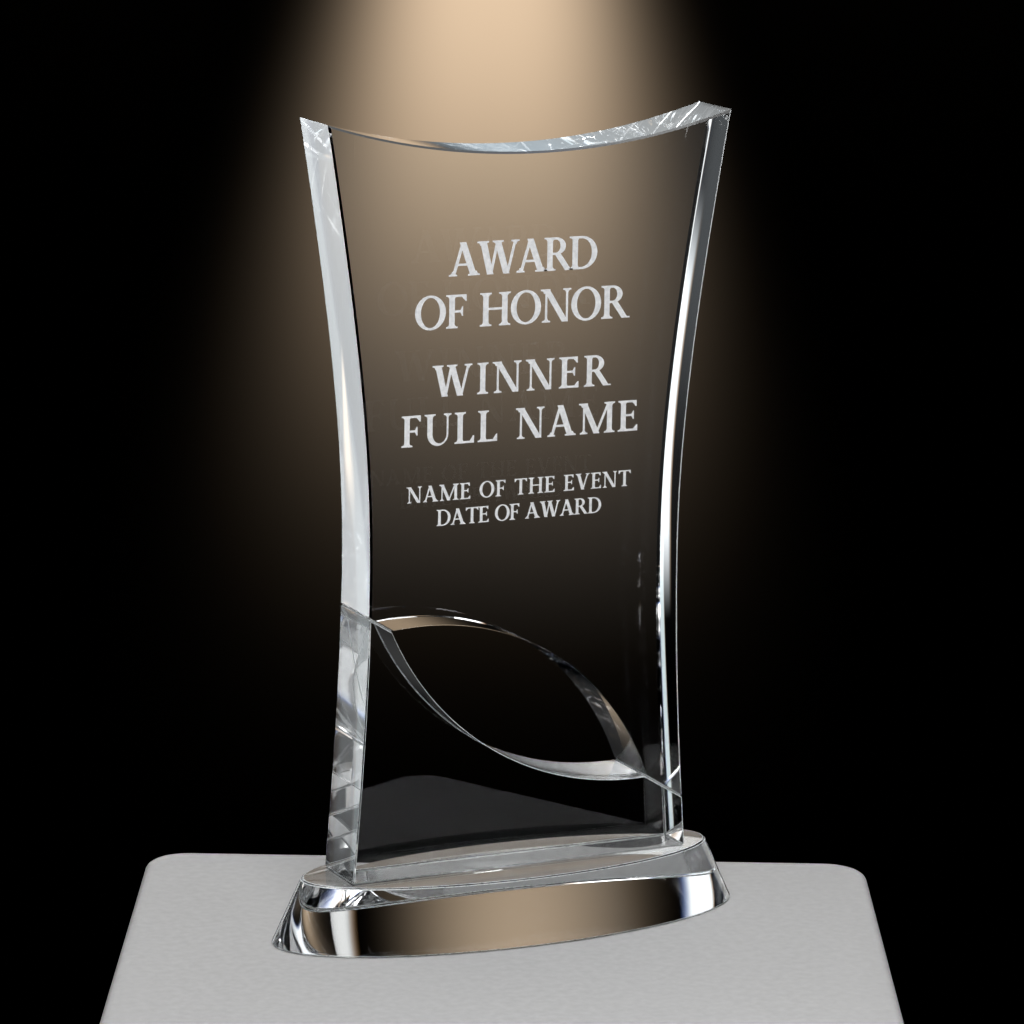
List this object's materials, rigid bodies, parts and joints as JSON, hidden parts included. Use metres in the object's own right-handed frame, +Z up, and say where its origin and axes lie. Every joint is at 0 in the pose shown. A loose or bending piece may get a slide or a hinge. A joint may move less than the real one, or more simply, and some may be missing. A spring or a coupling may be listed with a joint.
{
  "type": "crystal award",
  "caption": "Clear crystal award: hourglass plates bonded on a slanted seam around an almond window, standing on an oval sloped base.",
  "frame": {"origin": "centre of the oval base's underside, on the surface the award stands on", "axes": "+Z up, +X to the right across the engraved face, -Y out of the engraved face"},
  "size_m": [0.1568, 0.0606, 0.254],
  "materials": {
    "base_crystal": "polished",
    "plate_crystal": "polished",
    "adhesive": "clear cured film"
  },
  "bodies": {
    "root": {"base": "base_crystal", "lower_plate": "plate_crystal", "upper_plate": "plate_crystal", "left_seam_bond": "adhesive", "right_seam_bond": "adhesive", "base_bond": "adhesive"}
  },
  "joints": []
}
